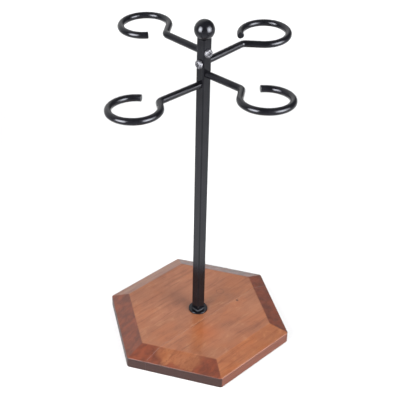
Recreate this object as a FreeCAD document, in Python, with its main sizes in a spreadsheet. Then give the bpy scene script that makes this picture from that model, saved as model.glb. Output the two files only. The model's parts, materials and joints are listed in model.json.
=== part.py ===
import FreeCAD, Part
import math
import os

import Sketcher
from FreeCAD import Placement, Rotation, Vector

# A mug tree: four open rings on rod arms, screwed to a square post that stands on a bevelled
# hexagonal wooden base. Millimetres, Z up the post, origin at the centre of the resting surface.
# Seen from the front corner of the post, the arms point back left (-X), back right (+Y),
# front right (+X) and front left (-Y).

DIMENSIONS = {
    # wooden base
    "base_across_flats": 213.0,
    "base_side_height": 15.0,
    "bevel_inset": 22.0,
    "bevel_rise": 10.0,
    "corner_round": 4.0,
    "bevel_edge_round": 1.4,
    "rim_round": 0.8,
    "glue_line_offset": 20.5,
    # rubber pads under the base
    "pad_diameter": 14.0,
    "pad_thickness": 1.5,
    "pad_circle_radius": 98.0,
    # square post and what is on its two ends
    "post_width": 12.0,
    "post_wall": 1.2,
    "post_corner_round": 1.5,
    "post_length": 384.0,
    "flange_diameter": 25.0,
    "flange_thickness": 2.0,
    "flange_edge_round": 0.8,
    "ball_diameter": 23.0,
    "ball_seat_diameter": 11.6,
    "spigot_diameter": 9.2,
    "spigot_length": 8.0,
    # rod arms
    "rod_diameter": 8.0,
    "ring_radius": 28.0,
    "ring_gap_angle": 33.5,
    "bend_radius": 8.0,
    "rod_end_round": 0.5,
    "top_arm_height": 396.7,
    "arm_step": 12.7,
    "seat_gap": 0.05,
    # arm screws
    "screw_diameter": 5.0,
    "screw_length": 25.0,
    "pan_head_diameter": 10.0,
    "pan_head_height": 3.3,
    "pan_head_round": 1.8,
    "pan_recess_depth": 1.9,
    "low_head_diameter": 8.2,
    "low_head_height": 1.3,
    "low_head_round": 0.5,
    "low_recess_depth": 0.8,
    "recess_span": 5.2,
    "recess_width": 1.1,
    "running_clearance": 0.075,
    "thread_clearance": 0.05,
    "bore_depth": 15.0,
    # bolt, washers and threaded plug under the post
    "bolt_diameter": 6.0,
    "bolt_length": 35.0,
    "bolt_head_across_flats": 10.0,
    "bolt_head_height": 4.0,
    "bolt_hole_diameter": 6.6,
    "counterbore_diameter": 20.0,
    "counterbore_depth": 8.0,
    "washer_diameter": 18.0,
    "washer_thickness": 1.6,
    "spring_washer_diameter": 11.8,
    "spring_washer_split": 1.2,
    "plug_length": 20.0,
}

# Each arm: the way it points, its turn about its own rod, how far it is aimed above level, its
# reach to the ring's centre, where its bend starts and how far the ring's centre stands aside of
# the rod's axis. The arms are bent and screwed on by hand, so they differ a little. The front left
# one is screwed on upside down. The order runs down the post.
ARMS = {
    "back_left": {
        "heading": 180.0, "roll": -2.5, "lift": -0.15, "reach": 98.8, "bend_start": 59.0, "aside": 0.0,
    },
    "back_right": {
        "heading": 90.0, "roll": 1.0, "lift": 3.8, "reach": 97.8, "bend_start": 58.0, "aside": 0.0,
    },
    "front_right": {
        "heading": 0.0, "roll": -1.0, "lift": 1.9, "reach": 95.0, "bend_start": 55.3, "aside": 0.0,
    },
    "front_left": {
        "heading": 270.0, "roll": 182.0, "lift": -0.2, "reach": 97.2, "bend_start": 62.0, "aside": 4.5,
    },
}

# The back arms' screw heads face the front and are pan heads. The front arms' screw heads are low
# enough to stay within the post's outline.
SCREW_HEADS = {"back_left": "pan", "back_right": "pan", "front_right": "low", "front_left": "low"}

PAD_COUNT = 6

doc = FreeCAD.newDocument("mug_tree")
sheet = doc.addObject("Spreadsheet::Sheet", "dims")
nodes = {}


def fill_sheet():
    """Write every driving dimension in the sheet, with the arms' own values after the shared ones."""
    values = dict(DIMENSIONS)
    for arm_name, arm in ARMS.items():
        for key, value in arm.items():
            values[f"{arm_name}_{key}"] = value
    for row, (alias, value) in enumerate(values.items(), start=1):
        sheet.set(f"A{row}", alias)
        sheet.set(f"B{row}", str(value))
        sheet.setAlias(f"B{row}", alias)
    doc.recompute()


def size(alias):
    """The sheet's value under an alias."""
    return float(sheet.get(alias))


def bind(obj, **expressions):
    """Bind properties to expressions; a double underscore stands for a dot."""
    for name, expression in expressions.items():
        obj.setExpression(name.replace("__", "."), expression)
    return obj


def primitive(kind, name, **expressions):
    return bind(doc.addObject(f"Part::{kind}", name), **expressions)


def boolean(kind, name, base, tool):
    obj = doc.addObject(f"Part::{kind}", name)
    obj.Base = base
    obj.Tool = tool
    doc.recompute()
    return obj


def rounded(name, base, radius, chooses):
    """Round the edges of base that the test chooses."""
    doc.recompute()
    obj = doc.addObject("Part::Fillet", name)
    obj.Base = base
    chosen = [i for i, edge in enumerate(base.Shape.Edges, start=1) if chooses(edge)]
    obj.Edges = [(i, radius, radius) for i in chosen]
    doc.recompute()
    return obj


def node(name, obj):
    """Name a finished sub-part."""
    obj.Label = name
    nodes[name] = obj
    return obj


def is_vertical(edge):
    direction = edge.tangentAt(edge.FirstParameter)
    return abs(abs(direction.z) - 1.0) < 1e-6


def lies_at(edge, height):
    return abs(edge.BoundBox.ZMin - height) < 1e-4 and abs(edge.BoundBox.ZMax - height) < 1e-4


# --- wooden base ------------------------------------------------------------------------------

def hexagon_circumradius(across_flats):
    return f"({across_flats}) / (2 * cos(30))"


def make_base():
    """One bevelled hexagonal block, sawn along the glue line into its two boards."""
    total = "dims.base_side_height + dims.bevel_rise"
    across = "dims.base_across_flats"
    prism = primitive("Prism", "base_prism", Circumradius=hexagon_circumradius(across), Height=total,
                      Placement__Base__z="dims.pad_thickness")
    prism.Polygon = 6
    prism.Placement.Rotation = Rotation(Vector(0, 0, 1), 30)
    prism = rounded("base_prism_corners", prism, size("corner_round"), is_vertical)

    # The bevel planes, carried down to the underside, make a frustum that the prism is cut to.
    slope = "dims.bevel_inset / dims.bevel_rise"
    top_across = f"{across} - 2 * dims.bevel_inset"
    low_across = f"{top_across} + 2 * ({total}) * {slope}"
    sections = []
    for name, width, height in (("bevel_low", low_across, "0"), ("bevel_top", top_across, total)):
        section = primitive("RegularPolygon", name, Circumradius=hexagon_circumradius(width),
                            Placement__Base__z=f"dims.pad_thickness + {height}")
        section.Polygon = 6
        section.Placement.Rotation = Rotation(Vector(0, 0, 1), 30)
        sections.append(section)
    frustum = doc.addObject("Part::Loft", "bevel_frustum")
    frustum.Sections = sections
    frustum.Solid = True
    frustum.Ruled = True
    block = boolean("Common", "base_sharp", prism, frustum)

    underside = size("pad_thickness")
    shoulder = underside + size("base_side_height")
    top = shoulder + size("bevel_rise")

    def is_hip(edge):
        return edge.BoundBox.ZMin > shoulder - 1.0 and edge.BoundBox.ZLength > size("bevel_rise") / 2

    def on_shoulder(edge):
        return edge.BoundBox.ZMin > shoulder - 1.0 and edge.BoundBox.ZMax < shoulder + 2.0

    block = rounded("base_hips", block, size("corner_round"), is_hip)
    block = rounded("base_shoulder", block, size("bevel_edge_round"), on_shoulder)

    hole = primitive("Cylinder", "bolt_hole", Radius="dims.bolt_hole_diameter / 2", Height=total,
                     Placement__Base__z="dims.pad_thickness")
    counterbore = primitive("Cylinder", "counterbore", Radius="dims.counterbore_diameter / 2",
                            Height="dims.counterbore_depth", Placement__Base__z="dims.pad_thickness")
    block = boolean("Cut", "base_drilled", block, boolean("Fuse", "bolt_way", hole, counterbore))

    def on_rim(edge, height):
        """On the board's outline at that height, but neither on the glue line nor round a hole."""
        box = edge.BoundBox
        along_glue_line = box.XLength < 1e-4 and abs(box.XMin - size("glue_line_offset")) < 1e-4
        round_hole = abs(box.Center.y) < 1e-4 and box.XLength > 1.0
        return lies_at(edge, height) and not along_glue_line and not round_hole

    half = f"({across})"
    sides = (
        ("base_board_wide", f"-{half}", f"{half} + dims.glue_line_offset"),
        ("base_board_narrow", "dims.glue_line_offset", half),
    )
    for name, start, width in sides:
        slab = primitive("Box", f"{name}_slab", Length=width, Width=f"2 * {half}", Height=f"2 * ({total})",
                         Placement__Base__x=start, Placement__Base__y=f"-{half}")
        board = boolean("Common", f"{name}_sawn", block, slab)
        board = rounded(f"{name}_top", board, size("corner_round"), lambda edge: on_rim(edge, top))
        node(name, rounded(name, board, size("rim_round"), lambda edge: on_rim(edge, underside)))


def make_pads():
    """A round rubber pad near each corner of the base."""
    for index in range(PAD_COUNT):
        angle = 30 + index * 360 / PAD_COUNT
        pad = primitive("Cylinder", f"foot_pad_{index + 1}", Radius="dims.pad_diameter / 2",
                        Height="dims.pad_thickness",
                        Placement__Base__x=f"dims.pad_circle_radius * cos({angle})",
                        Placement__Base__y=f"dims.pad_circle_radius * sin({angle})")
        node(f"foot_pad_{index + 1}", pad)


# --- post ---------------------------------------------------------------------------------------

BASE_TOP = "dims.pad_thickness + dims.base_side_height + dims.bevel_rise"
POST_FOOT = f"{BASE_TOP} + dims.flange_thickness"
POST_INSIDE = "(dims.post_width - 2 * dims.post_wall)"


def square_bar(name, width, length, foot):
    """A square bar centred on the post's axis."""
    return primitive("Box", name, Length=width, Width=width, Height=length, Placement__Base__z=foot,
                     Placement__Base__x=f"-{width} / 2", Placement__Base__y=f"-{width} / 2")


def arm_placement(arm_name):
    """Local +X out along the rod, its bend in the local XY plane."""
    turn = Rotation(Vector(0, 0, 1), size(f"{arm_name}_heading"))
    lift = Rotation(Vector(0, 1, 0), -size(f"{arm_name}_lift"))
    roll = Rotation(Vector(1, 0, 0), size(f"{arm_name}_roll"))
    height = size("top_arm_height") - list(ARMS).index(arm_name) * size("arm_step")
    return Placement(Vector(0, 0, height), turn * lift * roll)


def make_post():
    """The square tube, drilled right through once for each arm's screw."""
    outside = square_bar("post_outside", "dims.post_width", "dims.post_length", POST_FOOT)
    outside = rounded("post_outside_round", outside, size("post_corner_round"), is_vertical)
    inside = square_bar("post_inside", POST_INSIDE, "dims.post_length", POST_FOOT)
    inner_round = size("post_corner_round") - size("post_wall")
    inside = rounded("post_inside_round", inside, inner_round, is_vertical)
    tube = boolean("Cut", "post_undrilled", outside, inside)
    for arm_name in ARMS:
        drill = primitive("Cylinder", f"drill_{arm_name}",
                          Radius="dims.screw_diameter / 2 + dims.running_clearance",
                          Height="2 * dims.post_width")
        along_rod = Placement(Vector(-size("post_width"), 0, 0), Rotation(Vector(0, 1, 0), 90))
        drill.Placement = arm_placement(arm_name) * along_rod
        tube = boolean("Cut", f"post_drilled_{arm_name}", tube, drill)
    node("post_tube", tube)


def make_finial():
    """A ball with a flat seat on the tube's end and a spigot inside it."""
    post_top = f"{POST_FOOT} + dims.post_length"
    seat_depth = "sqrt(dims.ball_diameter ^ 2 - dims.ball_seat_diameter ^ 2) / 2"
    ball = primitive("Sphere", "ball", Radius="dims.ball_diameter / 2",
                     Angle1="-acos(dims.ball_seat_diameter / dims.ball_diameter)",
                     Placement__Base__z=f"{post_top} + {seat_depth}")
    spigot = primitive("Cylinder", "spigot", Radius="dims.spigot_diameter / 2",
                       Height="dims.spigot_length", Placement__Base__z=f"{post_top} - dims.spigot_length")
    node("finial_ball", boolean("Fuse", "finial_ball", ball, spigot))


def ring_plate(name, diameter, hole, thickness, foot):
    """A flat round plate with a hole, centred on the post's axis."""
    plate = primitive("Cylinder", f"{name}_disc", Radius=f"{diameter} / 2", Height=thickness,
                      Placement__Base__z=foot)
    opening = primitive("Cylinder", f"{name}_hole", Radius=f"{hole} / 2", Height=thickness,
                        Placement__Base__z=foot)
    return boolean("Cut", name, plate, opening)


def make_foot():
    """Everything that pulls the post down on the base, from the tube's plug to the bolt's head."""
    flange = ring_plate("flange", "dims.flange_diameter", "dims.bolt_hole_diameter",
                        "dims.flange_thickness", BASE_TOP)
    upper_face = size("pad_thickness") + size("base_side_height") + size("bevel_rise")
    upper_face += size("flange_thickness")

    def is_outer_rim(edge):
        return lies_at(edge, upper_face) and edge.BoundBox.XLength > size("post_width")

    node("foot_flange", rounded("foot_flange", flange, size("flange_edge_round"), is_outer_rim))

    plug = square_bar("plug_bar", POST_INSIDE, "dims.plug_length", POST_FOOT)
    plug = rounded("plug_round", plug, size("post_corner_round") / 2, is_vertical)
    thread = primitive("Cylinder", "plug_thread", Height="dims.plug_length", Placement__Base__z=POST_FOOT,
                       Radius="dims.bolt_diameter / 2 + dims.thread_clearance")
    node("foot_plug", boolean("Cut", "foot_plug", plug, thread))

    ceiling = "dims.pad_thickness + dims.counterbore_depth"
    washer_foot = f"{ceiling} - dims.washer_thickness"
    node("base_washer", ring_plate("base_washer", "dims.washer_diameter", "dims.bolt_hole_diameter",
                                   "dims.washer_thickness", washer_foot))
    spring_foot = f"{washer_foot} - dims.washer_thickness"
    spring = ring_plate("spring_ring", "dims.spring_washer_diameter", "dims.bolt_hole_diameter",
                        "dims.washer_thickness", spring_foot)
    split = primitive("Box", "spring_split", Length="dims.spring_washer_diameter",
                      Width="dims.spring_washer_split", Height="dims.washer_thickness",
                      Placement__Base__y="-dims.spring_washer_split / 2", Placement__Base__z=spring_foot)
    node("base_spring_washer", boolean("Cut", "base_spring_washer", spring, split))

    head_foot = f"{spring_foot} - dims.bolt_head_height"
    head = primitive("Prism", "bolt_head", Height="dims.bolt_head_height", Placement__Base__z=head_foot,
                     Circumradius=hexagon_circumradius("dims.bolt_head_across_flats"))
    head.Polygon = 6
    shank = primitive("Cylinder", "bolt_shank", Radius="dims.bolt_diameter / 2",
                      Height="dims.bolt_length", Placement__Base__z=spring_foot)
    node("base_bolt", boolean("Fuse", "base_bolt", head, shank))


# --- arms and their screws ------------------------------------------------------------------------

def plane_of(body, role):
    return next(feature for feature in body.Origin.OriginFeatures if feature.Role == role)


def sketch_on(body, role, name, offset=None):
    """A sketch on one of the body's own planes, moved along the plane's normal."""
    sketch = body.newObject("Sketcher::SketchObject", name)
    sketch.AttachmentSupport = [(plane_of(body, role), "")]
    sketch.MapMode = "FlatFace"
    if offset:
        sketch.setExpression("AttachmentOffset.Base.z", offset)
    return sketch


def constrain(sketch, name, constraint, expression):
    """Add a dimension to a sketch and bind it."""
    sketch.addConstraint(constraint)
    index = sketch.ConstraintCount - 1
    sketch.renameConstraint(index, name)
    sketch.setExpression(f"Constraints.{name}", expression)


def seat(radius, arm_name):
    """How far out a square-cut end of that radius starts, so that its tilted edge clears the post."""
    lift = f"abs(dims.{arm_name}_lift)"
    return f"(dims.post_width / 2 / cos({lift}) + {radius} * tan({lift}) + dims.seat_gap)"


def arm_path(body, arm_name):
    """Straight rod, a tight bend aside, a short straight and the open ring round the rod's own axis."""
    reach = size(f"{arm_name}_reach")
    aside = size(f"{arm_name}_aside")
    bend_start = size(f"{arm_name}_bend_start")
    ring = size("ring_radius")
    bend = size("bend_radius")
    bend_centre = Vector(bend_start, -bend, 0)
    ring_centre = Vector(reach, aside, 0)
    between = ring_centre - bend_centre
    leave = math.atan2(between.y, between.x) + math.acos((ring + bend) / between.Length)
    free_end = math.radians(180 - size("ring_gap_angle"))

    def on_circle(centre, radius, angle):
        return centre + Vector(radius * math.cos(angle), radius * math.sin(angle), 0)

    rod_start = Vector(size("post_width") / 2, 0, 0)
    rod_end = Vector(bend_start, 0, 0)
    bend_end = on_circle(bend_centre, bend, leave)
    ring_start = on_circle(ring_centre, ring, leave + math.pi)
    up = Vector(0, 0, 1)

    sketch = sketch_on(body, "XY_Plane", f"path_{arm_name}")
    rod = sketch.addGeometry(Part.LineSegment(rod_start, rod_end), False)
    bend_arc = Part.ArcOfCircle(Part.Circle(bend_centre, up, bend), leave, math.pi / 2)
    elbow = sketch.addGeometry(bend_arc, False)
    link = sketch.addGeometry(Part.LineSegment(bend_end, ring_start), False)
    ring_arc = Part.ArcOfCircle(Part.Circle(ring_centre, up, ring), leave - math.pi, free_end)
    hoop = sketch.addGeometry(ring_arc, False)

    start, end, centre = 1, 2, 3
    x_axis, origin = -1, -1
    sketch.addConstraint([
        Sketcher.Constraint("Tangent", rod, end, elbow, end),
        Sketcher.Constraint("Tangent", elbow, start, link, start),
        Sketcher.Constraint("Tangent", link, end, hoop, start),
        Sketcher.Constraint("PointOnObject", rod, start, x_axis),
        Sketcher.Constraint("PointOnObject", rod, end, x_axis),
    ])
    constrain(sketch, "butt", Sketcher.Constraint("DistanceX", origin, start, rod, start, rod_start.x),
              seat("dims.rod_diameter / 2", arm_name))
    constrain(sketch, "bend", Sketcher.Constraint("Radius", elbow, bend), "dims.bend_radius")
    constrain(sketch, "ring", Sketcher.Constraint("Radius", hoop, ring), "dims.ring_radius")
    constrain(sketch, "reach", Sketcher.Constraint("DistanceX", origin, start, hoop, centre, reach),
              f"dims.{arm_name}_reach")
    constrain(sketch, "aside", Sketcher.Constraint("DistanceY", origin, start, hoop, centre, aside),
              f"dims.{arm_name}_aside")
    constrain(sketch, "bend_start", Sketcher.Constraint("DistanceX", origin, start, rod, end, bend_start),
              f"dims.{arm_name}_bend_start")
    mouth = aside + ring * math.sin(free_end)
    constrain(sketch, "mouth", Sketcher.Constraint("DistanceY", origin, start, hoop, end, mouth),
              f"dims.{arm_name}_aside + dims.ring_radius * sin(dims.ring_gap_angle)")
    return sketch


def circle_sketch(body, role, name, radius, offset):
    """A circle about the plane's origin."""
    sketch = sketch_on(body, role, name, offset)
    circle = sketch.addGeometry(Part.Circle(Vector(0, 0, 0), Vector(0, 0, 1), 1.0), False)
    sketch.addConstraint(Sketcher.Constraint("Coincident", circle, 3, -1, 1))
    constrain(sketch, "radius", Sketcher.Constraint("Radius", circle, 1.0), radius)
    return sketch


def make_arm(arm_name):
    """A bent rod with a tapped butt end."""
    body = doc.addObject("PartDesign::Body", f"arm_{arm_name}")
    path = arm_path(body, arm_name)
    butt = seat("dims.rod_diameter / 2", arm_name)
    section = circle_sketch(body, "YZ_Plane", f"section_{arm_name}", "dims.rod_diameter / 2", butt)
    rod = body.newObject("PartDesign::AdditivePipe", f"rod_{arm_name}")
    rod.Profile = section
    rod.Spine = (path, ["Edge1", "Edge2", "Edge3", "Edge4"])
    doc.recompute()

    bore_section = circle_sketch(body, "YZ_Plane", f"bore_section_{arm_name}",
                                 "dims.screw_diameter / 2 + dims.thread_clearance", butt)
    bore = body.newObject("PartDesign::Pocket", f"bore_{arm_name}")
    bore.Profile = bore_section
    bore.setExpression("Length", "dims.bore_depth")
    bore.Reversed = True
    doc.recompute()

    ring_angle = math.radians(180 - size("ring_gap_angle"))
    free_end = Vector(size(f"{arm_name}_reach") + size("ring_radius") * math.cos(ring_angle),
                      size(f"{arm_name}_aside") + size("ring_radius") * math.sin(ring_angle), 0)
    rim = nearest_circle(bore.Shape, free_end, size("rod_diameter") / 2)
    softened = body.newObject("PartDesign::Fillet", f"end_{arm_name}")
    softened.Base = (bore, [rim])
    softened.setExpression("Radius", "dims.rod_end_round")
    doc.recompute()
    body.Placement = arm_placement(arm_name)
    node(f"arm_{arm_name}", body)


def nearest_circle(shape, centre, radius):
    """Name of the circular edge of that radius whose centre is nearest."""
    def gap(item):
        curve = item[1].Curve
        if not isinstance(curve, Part.Circle) or abs(curve.Radius - radius) > 1e-3:
            return math.inf
        return curve.Center.distanceToPoint(centre)

    index, _edge = min(enumerate(shape.Edges, start=1), key=gap)
    return f"Edge{index}"


def make_screw(arm_name):
    """A cross-recess machine screw from the post's far face into the arm's butt end."""
    style = SCREW_HEADS[arm_name]
    body = doc.addObject("PartDesign::Body", f"arm_screw_{arm_name}")
    under_head = seat(f"dims.{style}_head_diameter / 2", arm_name)
    head_section = circle_sketch(body, "YZ_Plane", f"head_section_{arm_name}",
                                 f"dims.{style}_head_diameter / 2", f"-{under_head}")
    head = body.newObject("PartDesign::Pad", f"head_{arm_name}")
    head.Profile = head_section
    head.setExpression("Length", f"dims.{style}_head_height")
    head.Reversed = True
    doc.recompute()

    shank_section = circle_sketch(body, "YZ_Plane", f"shank_section_{arm_name}",
                                  "dims.screw_diameter / 2", f"-{under_head}")
    shank = body.newObject("PartDesign::Pad", f"shank_{arm_name}")
    shank.Profile = shank_section
    shank.setExpression("Length", "dims.screw_length")
    doc.recompute()

    outer = size("post_width") / 2 + size(f"{style}_head_height")
    crown = nearest_circle(shank.Shape, Vector(-outer, 0, 0), size(f"{style}_head_diameter") / 2)
    crown_round = body.newObject("PartDesign::Fillet", f"crown_{arm_name}")
    crown_round.Base = (shank, [crown])
    crown_round.setExpression("Radius", f"dims.{style}_head_round")
    doc.recompute()

    slots = crown_round
    for slot_name, along, across in (("upright", "dims.recess_width", "dims.recess_span"),
                                     ("level", "dims.recess_span", "dims.recess_width")):
        slot_sketch = rectangle_sketch(body, f"{slot_name}_section_{arm_name}", along, across,
                                       f"-({under_head} + dims.{style}_head_height)")
        slots = body.newObject("PartDesign::Pocket", f"{slot_name}_{arm_name}")
        slots.Profile = slot_sketch
        slots.setExpression("Length", f"dims.{style}_recess_depth")
        slots.Reversed = True
        doc.recompute()
    body.Placement = arm_placement(arm_name)
    node(f"arm_screw_{arm_name}", body)


def rectangle_sketch(body, name, width, height, offset):
    """A rectangle centred on the origin of the body's YZ plane."""
    sketch = sketch_on(body, "YZ_Plane", name, offset)
    corners = [Vector(-1, -1, 0), Vector(1, -1, 0), Vector(1, 1, 0), Vector(-1, 1, 0)]
    sides = []
    for first, second in zip(corners, corners[1:] + corners[:1]):
        sides.append(sketch.addGeometry(Part.LineSegment(first, second), False))
    for side, following in zip(sides, sides[1:] + sides[:1]):
        sketch.addConstraint(Sketcher.Constraint("Coincident", side, 2, following, 1))
    bottom, right, top, left = sides
    sketch.addConstraint([
        Sketcher.Constraint("Horizontal", bottom),
        Sketcher.Constraint("Vertical", right),
        Sketcher.Constraint("Horizontal", top),
        Sketcher.Constraint("Vertical", left),
        Sketcher.Constraint("Symmetric", bottom, 1, top, 1, -1, 1),
    ])
    constrain(sketch, "width", Sketcher.Constraint("DistanceX", bottom, 1, bottom, 2, 2.0), width)
    constrain(sketch, "height", Sketcher.Constraint("DistanceY", right, 1, right, 2, 2.0), height)
    return sketch


# --- whole part -------------------------------------------------------------------------------------

def check_and_write():
    """Stop on any failed object or bad shape, then write one file for each sub-part."""
    doc.recompute()
    failed = [obj.Name for obj in doc.Objects if {"Invalid", "Error"} & set(obj.State)]
    if failed:
        raise RuntimeError(f"failed objects: {failed}")
    for name, obj in nodes.items():
        if obj.Shape.isNull() or not obj.Shape.isValid() or len(obj.Shape.Solids) != 1:
            raise RuntimeError(f"{name} is not one valid solid")
    os.makedirs("parts", exist_ok=True)
    for name, obj in nodes.items():
        obj.Shape.exportStep(f"parts/{name}.step")
        box = obj.Shape.BoundBox
        print(f"{name}: {obj.Shape.Volume:.1f} mm3, z {box.ZMin:.2f} to {box.ZMax:.2f}")


fill_sheet()
make_base()
make_pads()
make_post()
make_finial()
make_foot()
for each_arm in ARMS:
    make_arm(each_arm)
    make_screw(each_arm)
check_and_write()
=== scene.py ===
import json
import math

import bmesh
import bpy
from mathutils import Matrix, Vector


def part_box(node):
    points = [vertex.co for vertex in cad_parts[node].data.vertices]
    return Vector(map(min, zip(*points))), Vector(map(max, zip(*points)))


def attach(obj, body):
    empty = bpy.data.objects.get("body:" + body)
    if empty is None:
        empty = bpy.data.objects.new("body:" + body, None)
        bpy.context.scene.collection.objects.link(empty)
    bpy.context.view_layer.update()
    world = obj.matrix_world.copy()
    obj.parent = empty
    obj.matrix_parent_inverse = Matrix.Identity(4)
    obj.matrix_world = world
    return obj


# A mug tree in a plain, soft studio. Metres, in the CAD model's own frame: Z up the post, the
# wood's grain along Y, the arms along -X, +Y, +X and -Y from the top one down.

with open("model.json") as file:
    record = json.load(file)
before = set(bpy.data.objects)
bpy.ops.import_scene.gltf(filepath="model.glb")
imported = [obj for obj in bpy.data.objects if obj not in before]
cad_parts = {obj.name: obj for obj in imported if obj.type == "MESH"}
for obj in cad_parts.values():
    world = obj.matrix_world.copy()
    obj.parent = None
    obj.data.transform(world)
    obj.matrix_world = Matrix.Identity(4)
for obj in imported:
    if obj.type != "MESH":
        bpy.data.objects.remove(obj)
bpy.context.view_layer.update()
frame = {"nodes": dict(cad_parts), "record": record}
nodes = frame["nodes"]
scene = bpy.context.scene


# --- helpers for shader graphs ------------------------------------------------------------------

NUMBER_OUT = ("DOT_PRODUCT", "DISTANCE", "LENGTH")    # vector operations that give one number


class Graph:
    """A node tree with short calls: a maker returns its new node's main output."""

    def __init__(self, tree):
        self.tree = tree

    def put(self, kind, inputs=None, **settings):
        """Add a node and return the node itself."""
        made = self.tree.nodes.new(kind)
        for key, value in settings.items():
            setattr(made, key, value)
        for key, value in (inputs or {}).items():
            self.feed(made.inputs[key], value)
        return made

    def feed(self, socket, value):
        """Link another node's output to a socket, or set the socket's own value."""
        if isinstance(value, bpy.types.NodeSocket):
            self.tree.links.new(value, socket)
        else:
            socket.default_value = value

    def math(self, operation, first, second=0.0):
        made = self.put("ShaderNodeMath", {0: first, 1: second}, operation=operation)
        return made.outputs[0]

    def vector_math(self, operation, first, second=(0.0, 0.0, 0.0)):
        made = self.put("ShaderNodeVectorMath", {0: first, 1: second}, operation=operation)
        return made.outputs["Value" if operation in NUMBER_OUT else "Vector"]

    def stretch(self, vector, share):
        """Shrink the Y coordinate to a share of it, so that a texture runs along the grain."""
        return self.vector_math("MULTIPLY", vector, (1.0, share, 1.0))

    def split(self, vector):
        """The outputs X, Y and Z of a vector."""
        return self.put("ShaderNodeSeparateXYZ", {"Vector": vector}).outputs

    def noise(self, vector, scale, detail=3.0, roughness=0.5, distortion=0.0):
        made = self.put("ShaderNodeTexNoise",
                        {"Vector": vector, "Scale": scale, "Detail": detail,
                         "Roughness": roughness, "Distortion": distortion})
        return made.outputs["Fac"]

    def ramp(self, value, low, high, to_low=0.0, to_high=1.0):
        """Smooth step from to_low at low to to_high at high; low may be the larger one."""
        made = self.put("ShaderNodeMapRange",
                        {"Value": value, "From Min": low, "From Max": high,
                         "To Min": to_low, "To Max": to_high},
                        interpolation_type="SMOOTHSTEP")
        return made.outputs["Result"]

    def mix(self, factor, first, second, blend="MIX"):
        made = self.put("ShaderNodeMix", data_type="RGBA", blend_type=blend)
        self.feed(made.inputs["Factor"], factor)
        self.feed(made.inputs["A"], first)
        self.feed(made.inputs["B"], second)
        return made.outputs["Result"]

    def bevel(self, radius, samples):
        """The surface's normal, as if its sharp edges were rounded."""
        made = self.put("ShaderNodeBevel", {"Radius": radius}, samples=samples)
        return made.outputs["Normal"]

    def bump(self, height, strength, distance, normal=None):
        made = self.put("ShaderNodeBump",
                        {"Height": height, "Strength": strength, "Distance": distance})
        if normal is not None:
            self.feed(made.inputs["Normal"], normal)
        return made.outputs["Normal"]


def rgb(red, green, blue):
    """A colour on the 0 to 255 screen scale, as the linear values that shaders take."""
    def linear(value):
        value = value / 255
        return value / 12.92 if value <= 0.04045 else ((value + 0.055) / 1.055) ** 2.4
    return (linear(red), linear(green), linear(blue), 1.0)


def grey(value):
    """A grey as a linear value."""
    return (value, value, value, 1.0)


def new_material(name):
    """A material, its graph and shader, and a point's place in metres."""
    material = bpy.data.materials.new(name)
    material.use_nodes = True
    graph = Graph(material.node_tree)
    shader = material.node_tree.nodes["Principled BSDF"]
    place = graph.put("ShaderNodeTexCoord").outputs["Object"]
    return material, graph, shader, place


def dress(node_name, material):
    """Give a CAD node a material."""
    slots = nodes[node_name].data.materials
    slots.clear()
    slots.append(material)


# --- the wooden base ----------------------------------------------------------------------------

BASE_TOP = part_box("base_board_wide")[1][2]
BASE_SIDES = 6.0
GRAIN_BEND = 0.012                           # how far the grain wanders to one side, along X

# the wood's noise fields: share of Y kept, scale, detail, roughness and distortion
WOOD_FIELDS = {"pores": (0.04, 950.0, 3.0, 0.60, 0.0),
               "lines": (0.05, 260.0, 4.0, 0.60, 0.0),
               "bands": (0.14, 55.0, 3.0, 0.50, 0.0),
               "clouds": (0.60, 30.0, 4.0, 0.60, 0.0),
               "mottle": (0.50, 90.0, 5.0, 0.65, 0.4)}
# what lies over the wood's two main tones: field, where it starts and is full, strength, colour
WOOD_LAYERS = (("clouds", 0.42, 0.70, 0.70, rgb(122, 70, 40)),
               ("mottle", 0.48, 0.70, 0.55, rgb(98, 54, 33)),
               ("mottle", 0.46, 0.30, 0.45, rgb(133, 91, 63)),
               ("lines", 0.50, 0.70, 0.50, rgb(88, 48, 31)),
               ("pores", 0.58, 0.70, 0.50, rgb(74, 39, 25)))
PALE_END_GRAIN = (0.86, 0.84, 0.82, 1.0)     # end grain that took little stain, as a share
# soft patches on top: x, y, reach, strength and colour; a painted shadow of the post, a painted
# reflection of the post in the lacquer, and a stain
STAIN_SHADOW_AND_REFLECTION_PATCHES = ((-0.026, -0.004, 0.050, 0.55, rgb(92, 54, 37)),
                 (0.040, -0.025, 0.044, 0.65, rgb(136, 70, 32)),
                 (0.052, 0.052, 0.044, 0.50, rgb(128, 84, 58)))
PATCH_CORE = 0.010                           # a patch has its full strength inside this
PATCH_FRAYING = 0.030                        # how far the clouds shift its edge
GLUE_LINE = 0.0205                           # where the two boards meet, along X
KNOT = (0.024, 0.050, BASE_TOP)              # a small dark knot
RING_MARK = (-0.005, 0.046, BASE_TOP)        # a small ring-shaped figure in the grain
RING_MARK_RADIUS = 0.0050
WIPED_FACET = (0.5, -0.866, 0.0)             # outwards from the bevel that was wiped while wet


def wood_fields(graph, place, shift):
    """The noise fields, moved by shift and bent a little to one side on their way along Y."""
    place = graph.vector_math("ADD", place, shift)
    waves = graph.noise(graph.stretch(place, 0.25), 14.0, detail=2.0)
    bend = graph.math("MULTIPLY", waves, GRAIN_BEND)
    sideways = graph.put("ShaderNodeCombineXYZ", {"X": bend}).outputs[0]
    place = graph.vector_math("ADD", place, sideways)
    return {name: graph.noise(graph.stretch(place, share), *look)
            for name, (share, *look) in WOOD_FIELDS.items()}


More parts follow.
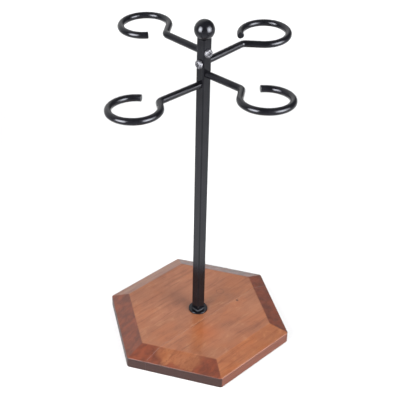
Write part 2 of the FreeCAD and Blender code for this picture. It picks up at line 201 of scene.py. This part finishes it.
def long_grain_colour(graph, place, fields):
    """The lacquered face: two tones in bands, layers of grain and stain, and soft patches: a
    stain, a painted shadow and a painted reflection of the post.
    """
    colour = graph.mix(graph.ramp(fields["bands"], 0.35, 0.65), rgb(110, 67, 44), rgb(120, 75, 51))
    for field, start, full, strength, tint in WOOD_LAYERS:
        colour = graph.mix(graph.ramp(fields[field], start, full, to_high=strength), colour, tint)
    # the patches, with frayed edges: a painted shadow of the post, a painted reflection of the
    # post in the lacquer, and a stain
    fraying = graph.math("MULTIPLY", fields["clouds"], PATCH_FRAYING)
    for x, y, reach, strength, tint in STAIN_SHADOW_AND_REFLECTION_PATCHES:
        away = graph.vector_math("DISTANCE", place, (x, y, BASE_TOP))
        away = graph.math("ADD", away, fraying)
        colour = graph.mix(graph.ramp(away, reach, PATCH_CORE, to_high=strength), colour, tint)
    return colour


def add_marks(graph, colour, place, fields, end_grain):
    """The pale glue line, the knot and the ring-shaped mark."""
    off_line = graph.math("SUBTRACT", graph.split(place)["X"], GLUE_LINE)
    seam = graph.ramp(graph.math("ABSOLUTE", off_line), 0.0006, 0.0001, to_high=0.35)
    seam = graph.math("MULTIPLY", seam, graph.math("SUBTRACT", 1.0, end_grain))
    colour = graph.mix(seam, colour, rgb(150, 100, 70))

    from_knot = graph.vector_math("DISTANCE", place, KNOT)
    knot = graph.ramp(from_knot, 0.0024, 0.0008, to_high=0.85)
    colour = graph.mix(knot, colour, rgb(50, 26, 18))

    from_mark = graph.vector_math("DISTANCE", place, RING_MARK)
    off_ring = graph.math("ABSOLUTE", graph.math("SUBTRACT", from_mark, RING_MARK_RADIUS))
    broken = graph.ramp(fields["mottle"], 0.35, 0.65, to_low=0.1, to_high=0.6)
    ring = graph.math("MULTIPLY", graph.ramp(off_ring, 0.0009, 0.0002), broken)
    return graph.mix(ring, colour, rgb(64, 34, 23))


def end_grain_colour(graph, colour, place, fields, upright):
    """End grain: dark where the stain soaked in, most at a facet's ends and outer edge, paler
    where it didn't, as on the wiped facet, and darkest on the upright sides, partly from a deeper
    soak and partly as painted shade."""
    clouds, mottle = fields["clouds"], fields["mottle"]
    spot = graph.split(place)
    angle = graph.math("ARCTAN2", spot["Y"], spot["X"])
    cornered = graph.math("COSINE", graph.math("MULTIPLY", angle, BASE_SIDES))
    cornered = graph.ramp(cornered, 1.0, -1.0)
    from_post = graph.vector_math("LENGTH", graph.vector_math("MULTIPLY", place, (1, 1, 0)))
    outer = graph.ramp(from_post, 0.092, 0.118)
    towards_wiped = graph.vector_math("DOT_PRODUCT", place, WIPED_FACET)
    wiped = graph.ramp(towards_wiped, 0.060, 0.080)
    lip = graph.ramp(towards_wiped, 0.094, 0.108)
    lip = graph.math("MULTIPLY", lip, graph.ramp(mottle, 0.38, 0.60))

    # what draws the stain in, and how strongly; the wiped facet keeps it out, all but its lip
    soak = graph.math("MULTIPLY", cornered, 0.9)
    for term, weight in ((outer, 0.75), (clouds, 1.3), (mottle, 0.5), (wiped, -1.4), (lip, 0.6)):
        soak = graph.math("ADD", soak, graph.math("MULTIPLY", term, weight))
    soak = graph.ramp(soak, -0.20, 0.36)
    pale = graph.mix(1.0, colour, PALE_END_GRAIN, "MULTIPLY")
    dark = graph.mix(graph.ramp(mottle, 0.36, 0.64), rgb(66, 33, 23), rgb(88, 43, 27))
    # the upright end-grain sides go darkest: partly a deeper soak, partly painted shade for the
    # less light they get
    return graph.mix(upright, graph.mix(soak, pale, dark), rgb(36, 19, 16))


def wood_material(name, shift):
    """Stained, lacquered hardwood: grain along Y, end grain that soaked up more stain, and painted
    shade on the bevels and upright sides.
    """
    material, graph, shader, place = new_material(name)
    fields = wood_fields(graph, place, shift)
    rounded = graph.bevel(0.0014, samples=6)
    # the way the surface faces tells end grain, the bevels and the upright sides apart; the bevels
    # and sides also carry painted shade
    facing = graph.split(rounded)
    end_grain = graph.ramp(graph.math("ABSOLUTE", facing["Y"]), 0.06, 0.34)
    painted_bevel_shade = graph.ramp(facing["Z"], 0.98, 0.92, to_high=0.15)
    upright = graph.ramp(facing["Z"], 0.80, 0.30)

    colour = long_grain_colour(graph, place, fields)
    colour = add_marks(graph, colour, place, fields, end_grain)
    # painted shade: the bevels are made a little darker than the top, for the extra light they
    # catch
    colour = graph.mix(painted_bevel_shade, colour, grey(0.0))
    stained = end_grain_colour(graph, colour, place, fields, upright)
    # painted shade: the upright long-grain sides are painted much darker than the top, for the
    # less light they get
    colour = graph.mix(graph.math("MULTIPLY", upright, 0.85), colour, rgb(70, 32, 21))
    colour = graph.mix(end_grain, colour, stained)

    graph.feed(shader.inputs["Base Color"], colour)
    rough = graph.ramp(fields["lines"], 0.3, 0.7, to_low=0.42, to_high=0.55)
    lacquer = graph.ramp(upright, 0.0, 1.0, to_low=0.48, to_high=0.10)
    graph.feed(shader.inputs["Roughness"], rough)
    graph.feed(shader.inputs["Normal"], graph.bump(fields["pores"], 0.12, 0.0003, rounded))
    graph.feed(shader.inputs["Coat Normal"], rounded)
    graph.feed(shader.inputs["Coat Weight"], lacquer)
    shader.inputs["Coat Roughness"].default_value = 0.2
    shader.inputs["Specular IOR Level"].default_value = 0.2
    return material


# --- metal and rubber ---------------------------------------------------------------------------

def black_material():
    """Semi-gloss black powder coat: fine orange peel, uneven gloss and softened edges."""
    material, graph, shader, place = new_material("black_powder_coat")
    peel = graph.noise(place, 2600.0, detail=2.0)
    uneven = graph.noise(place, 90.0, detail=4.0)
    colour = graph.mix(graph.ramp(uneven, 0.35, 0.75), rgb(7, 7, 9), rgb(12, 12, 15))
    rough = graph.ramp(uneven, 0.3, 0.7, to_low=0.14, to_high=0.22)
    rounded = graph.bevel(0.0005, samples=4)
    graph.feed(shader.inputs["Base Color"], colour)
    graph.feed(shader.inputs["Roughness"], rough)
    graph.feed(shader.inputs["Normal"], graph.bump(peel, 0.12, 0.0002, rounded))
    shader.inputs["IOR"].default_value = 1.345
    shader.inputs["Specular Tint"].default_value = (0.88, 0.90, 1.0, 1.0)
    return material


def zinc_material():
    """Dull zinc plate, a little cloudy, on the screws, bolt and washers."""
    material, graph, shader, place = new_material("zinc_plate")
    stains = graph.noise(place, 900.0, detail=4.0)
    colour = graph.mix(graph.ramp(stains, 0.35, 0.7), rgb(112, 112, 116), rgb(70, 70, 75))
    rough = graph.ramp(stains, 0.3, 0.7, to_low=0.45, to_high=0.65)
    graph.feed(shader.inputs["Base Color"], colour)
    graph.feed(shader.inputs["Roughness"], rough)
    shader.inputs["Metallic"].default_value = 1.0
    return material


def rubber_material():
    """Matt black rubber."""
    material, graph, shader, place = new_material("foot_rubber")
    grain = graph.noise(place, 3000.0)
    rough = graph.ramp(grain, 0.3, 0.7, to_low=0.75, to_high=0.9)
    graph.feed(shader.inputs["Base Color"], graph.mix(grain, rgb(28, 28, 28), rgb(44, 43, 42)))
    graph.feed(shader.inputs["Roughness"], rough)
    graph.feed(shader.inputs["Normal"], graph.bump(grain, 0.3, 0.0002))
    return material


black = black_material()
finishes = {"black_steel": black, "zinc_steel": zinc_material(), "foot_rubber": rubber_material()}
dress("base_board_wide", wood_material("stained_wood_wide", (0.0, 0.0, 0.0)))
dress("base_board_narrow", wood_material("stained_wood_narrow", (0.31, 0.17, 0.05)))
for part in frame["record"]["subparts"]:
    if part["material_slot"] in finishes:
        dress(part["node"], finishes[part["material_slot"]])


# --- weld at the post's foot --------------------------------------------------------------------

def weld_bead():
    """The rippled bead that joins the square tube to its flange."""
    half_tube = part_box("post_tube")[1][0]
    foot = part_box("foot_flange")[1][2]
    corner = 0.0015                       # radius of the tube's corners
    thickness = 0.0011                    # radius of the bead, between two ripples
    ripples, ripple_rise = 44, 0.13
    steps_around, steps_across = 264, 12
    mesh = bmesh.new()
    rings = []
    for index in range(steps_around):
        turn = 2 * math.pi * index / steps_around
        outward = Vector((math.cos(turn), math.sin(turn), 0.0))
        on_square = outward * ((half_tube - corner) / max(abs(outward.x), abs(outward.y)))
        wave = abs(math.sin(math.pi * ripples * index / steps_around))
        radius = thickness * (1.0 + ripple_rise * wave)
        ring = []
        for step in range(steps_across):
            angle = 2 * math.pi * step / steps_across
            point = on_square + outward * (corner + radius * math.cos(angle))
            ring.append(mesh.verts.new((point.x, point.y, foot + radius * math.sin(angle))))
        rings.append(ring)
    for ring, following in zip(rings, rings[1:] + rings[:1]):
        for step in range(steps_across):
            after = (step + 1) % steps_across
            face = mesh.faces.new((ring[step], following[step], following[after], ring[after]))
            face.smooth = True
    bmesh.ops.recalc_face_normals(mesh, faces=mesh.faces)
    data = bpy.data.meshes.new("post_weld")
    mesh.to_mesh(data)
    mesh.free()
    data.materials.append(black)
    bead = bpy.data.objects.new("post_weld", data)
    scene.collection.objects.link(bead)
    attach(bead, "stand")


weld_bead()


# --- stage, light and camera --------------------------------------------------------------------

LIT_POINT = Vector((0.0, 0.0, 0.42))      # where the softboxes aim, near the post's top
SOFTBOX_DISTANCE = 1.2
SOFTBOX_SPREAD = 66.0                     # degrees


def make_floor():
    """A plain pale floor that glows softly round the base and far off, like a lit backdrop."""
    half_side = 6.0
    material, graph, shader, place = new_material("floor_paper")
    speckle = graph.noise(place, 40.0, detail=2.0)
    graph.feed(shader.inputs["Base Color"], graph.mix(speckle, grey(0.56), grey(0.58)))
    from_stand = graph.vector_math("DISTANCE", place, (0.0, 0.0, 0.0))
    far_glow = graph.ramp(from_stand, 0.45, 1.5, to_high=0.38)
    near_glow = graph.ramp(from_stand, 0.20, 0.12, to_high=0.20)
    graph.feed(shader.inputs["Emission Strength"], graph.math("ADD", far_glow, near_glow))
    shader.inputs["Emission Color"].default_value = grey(1.0)
    shader.inputs["Roughness"].default_value = 0.9
    shader.inputs["Specular IOR Level"].default_value = 0.1
    corners = [(x * half_side, y * half_side, 0) for x, y in ((-1, -1), (1, -1), (1, 1), (-1, 1))]
    mesh = bpy.data.meshes.new("floor")
    mesh.from_pydata(corners, [], [(0, 1, 2, 3)])
    mesh.materials.append(material)
    floor = bpy.data.objects.new("floor", mesh)
    scene.collection.objects.link(floor)


def make_world():
    """A dim room: a pale band at eye level all round, and a bright wall on the -X side."""
    world = bpy.data.worlds.new("studio")
    scene.world = world
    world.use_nodes = True
    graph = Graph(world.node_tree)
    direction = graph.put("ShaderNodeTexCoord").outputs["Generated"]
    height = graph.split(direction)["Z"]
    room = graph.mix(graph.ramp(height, 0.0, 0.22), grey(0.62), (0.15, 0.15, 0.17, 1.0))
    towards_wall = graph.vector_math("DOT_PRODUCT", direction, (-0.92, 0.15, 0.36))
    wall = graph.ramp(towards_wall, 0.50, 0.85)
    background = world.node_tree.nodes["Background"]
    graph.feed(background.inputs["Color"], graph.mix(wall, room, grey(1.2)))


def area_lamp(name, width, height, spread, power):
    """A rectangular lamp with a spread in degrees. It faces straight down until it is turned."""
    light = bpy.data.lights.new(name, "AREA")
    light.shape = "RECTANGLE"
    light.size = width
    light.size_y = height
    light.spread = math.radians(spread)
    light.energy = power
    lamp = bpy.data.objects.new(name, light)
    scene.collection.objects.link(lamp)
    return lamp


def softbox(name, azimuth, elevation, width, height, power):
    """A lamp aimed at the top of the post, in degrees; azimuth 0 stands at -Y and 90 at +X."""
    lamp = area_lamp(name, width, height, SOFTBOX_SPREAD, power)
    a, e = math.radians(azimuth), math.radians(elevation)
    outward = Vector((math.sin(a) * math.cos(e), -math.cos(a) * math.cos(e), math.sin(e)))
    lamp.location = LIT_POINT + outward * SOFTBOX_DISTANCE
    lamp.rotation_mode = "QUATERNION"
    lamp.rotation_quaternion = outward.to_track_quat("Z", "Y")


def backdrop_wash():
    """A lamp that shines straight down on the floor behind the stand."""
    lamp = area_lamp("backdrop_wash", width=3.0, height=2.4, spread=90.0, power=34.0)
    lamp.location = (-1.5, 1.5, 1.6)
    lamp.rotation_euler = (0.0, 0.0, math.radians(45.0))


def make_camera():
    """A long lens that looks down on the post's front corner, rolled by a hair."""
    place = (0.6227, -0.6123, 0.7924)
    azimuth, elevation, roll = math.radians(45.53), math.radians(34.12), math.radians(1.32)
    back = Vector((math.sin(azimuth) * math.cos(elevation),
                   -math.cos(azimuth) * math.cos(elevation), math.sin(elevation)))
    right = Vector((math.cos(azimuth), math.sin(azimuth), 0.0))
    up = back.cross(right)
    rolled_right = right * math.cos(roll) + up * math.sin(roll)
    rolled_up = up * math.cos(roll) - right * math.sin(roll)
    turn = Matrix((rolled_right, rolled_up, back)).transposed()
    data = bpy.data.cameras.new("camera")
    data.sensor_width = 36.0
    data.lens = 77.81
    data.clip_end = 100.0
    camera = bpy.data.objects.new("camera", data)
    camera.matrix_world = Matrix.Translation(place) @ turn.to_4x4()
    scene.collection.objects.link(camera)
    scene.camera = camera


make_floor()
make_world()
make_camera()
softbox("softbox_left", azimuth=-3.2, elevation=13.7, width=0.82, height=1.24, power=15.5)
softbox("softbox_right", azimuth=100.6, elevation=12.5, width=1.00, height=1.24, power=16.5)
softbox("strip_right", azimuth=128.0, elevation=14.0, width=0.14, height=1.20, power=0.8)
backdrop_wash()
scene.view_settings.view_transform = "Standard"
scene.view_settings.look = "None"
